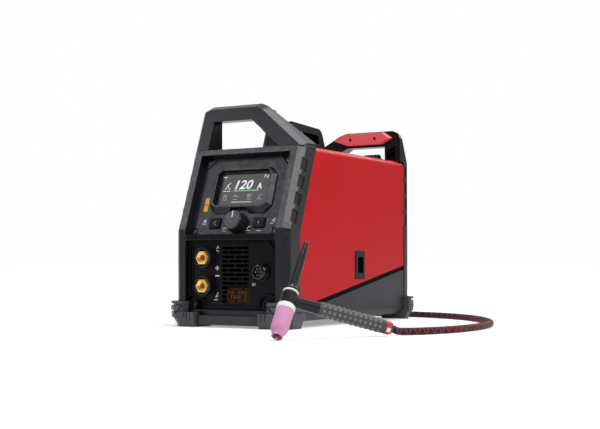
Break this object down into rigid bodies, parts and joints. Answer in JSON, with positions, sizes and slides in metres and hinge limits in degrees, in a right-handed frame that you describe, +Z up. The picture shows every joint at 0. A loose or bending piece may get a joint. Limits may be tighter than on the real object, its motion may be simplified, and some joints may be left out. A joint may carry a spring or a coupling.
{
  "type": "tig welder",
  "caption": "Portable inverter welding machine with leaning control panel, carry handles, corner feet and a pistol-angled gas torch on a coiled cable.",
  "frame": {"origin": "on the floor, under the middle of the case between its front and rear faces", "axes": "+X to the right seen from the front, -Y towards the front with the controls, +Z up"},
  "size_m": [0.5615, 0.8908, 0.374],
  "materials": {
    "black_plastic": "fine-grained moulding, charcoal black",
    "foot_rubber": "moulded rubber, charcoal",
    "red_paint": "satin red powder coat",
    "grey_paint": "satin dark grey powder coat",
    "red_plastic": "satin red moulding",
    "screen_glass": "smooth dark screen",
    "white_plastic": "white moulding",
    "brass": "turned brass",
    "copper": "bare copper",
    "steel": "plain steel",
    "dark_steel": "blackened steel",
    "board_green": "green circuit board",
    "aluminium": "extruded aluminium",
    "hose_blue": "blue gas hose",
    "pink_ceramic": "pink alumina",
    "cable_braid": "black braid with a red tracer"
  },
  "bodies": {
    "machine": {"base_pan": "grey_paint", "case_cover": "red_paint", "front_bezel": "black_plastic", "rear_bezel": "black_plastic", "foot_front_left": "foot_rubber", "foot_front_right": "foot_rubber", "foot_rear_left": "foot_rubber", "foot_rear_right": "foot_rubber", "front_handle": "black_plastic", "rear_handle": "black_plastic", "front_handle_grip": "red_plastic", "rear_handle_grip": "red_plastic", "case_screws": "dark_steel", "control_panel": "black_plastic", "display_bezel": "black_plastic", "display_glass": "screen_glass", "control_board": "board_green", "connector_panel": "black_plastic", "socket_collars": "black_plastic", "upper_socket": "brass", "lower_socket": "brass", "remote_receptacle": "black_plastic", "side_slots": "black_plastic", "top_caddy": "black_plastic", "cable_clip": "black_plastic", "rear_panel": "black_plastic", "fan_frame": "black_plastic", "power_switch_frame": "black_plastic", "gas_inlet": "brass", "power_cord_gland": "black_plastic", "heatsinks": "aluminium", "circuit_boards": "board_green", "board_parts": "dark_steel", "transformer_winding": "copper", "hf_coil": "copper", "bus_bars": "copper", "gas_solenoid": "aluminium", "gas_hose": "hose_blue", "torch_body": "black_plastic", "torch_grip": "black_plastic", "torch_collar": "red_plastic", "heat_shield": "white_plastic", "gas_cup": "pink_ceramic", "collet_body": "brass", "tungsten": "steel", "torch_cable": "cable_braid", "cable_coil": "cable_braid", "plug_sleeve": "foot_rubber", "plug_pin": "brass"},
    "dial_plunger": {"encoder_plunger": "white_plastic"},
    "dial": {"dial_knob": "black_plastic", "dial_pointer": "white_plastic", "encoder_shaft": "steel"},
    "left_button": {"left_button": "black_plastic"},
    "right_button": {"right_button": "black_plastic"},
    "power_rocker": {"power_switch_rocker": "black_plastic"},
    "fan": {"fan_rotor": "black_plastic"},
    "cap_thread": {"cap_seal": "white_plastic"},
    "cap": {"back_cap": "black_plastic"}
  },
  "joints": [
    {"name": "dial_push", "type": "slide", "parent": "machine", "child": "dial_plunger", "axis": [0, 0.9397, -0.342], "range_m": [0, 0.0006], "stiffness_N_per_m": 2000},
    {"name": "dial_turn", "type": "hinge", "parent": "dial_plunger", "child": "dial", "pos_m": [0.003, -0.21687, 0.17409], "axis": [0, -0.9397, 0.342], "continuous": true},
    {"name": "left_button_push", "type": "slide", "parent": "machine", "child": "left_button", "axis": [0, 0.9397, -0.342], "range_m": [0, 0.0012], "stiffness_N_per_m": 1500},
    {"name": "right_button_push", "type": "slide", "parent": "machine", "child": "right_button", "axis": [0, 0.9397, -0.342], "range_m": [0, 0.0012], "stiffness_N_per_m": 1500},
    {"name": "power_switch", "type": "hinge", "parent": "machine", "child": "power_rocker", "pos_m": [0.065, 0.209, 0.23], "axis": [1, 0, 0], "range_deg": [0, 20]},
    {"name": "fan_spin", "type": "hinge", "parent": "machine", "child": "fan", "pos_m": [-0.015, 0.196, 0.13], "axis": [0, 1, 0], "continuous": true},
    {"name": "cap_travel", "type": "slide", "parent": "machine", "child": "cap_thread", "axis": [-0.1083, 0.6471, 0.7547], "range_m": [0, 0.008]},
    {"name": "cap_turn", "type": "hinge", "parent": "cap_thread", "child": "cap", "pos_m": [0.22183, -0.39206, 0.06832], "axis": [-0.1083, 0.6471, 0.7547], "range_deg": [0, 2880]}
  ],
  "couplings": [
    {"joint": "cap_turn", "follows": "cap_travel", "rad_per_m": 6283.2}
  ]
}
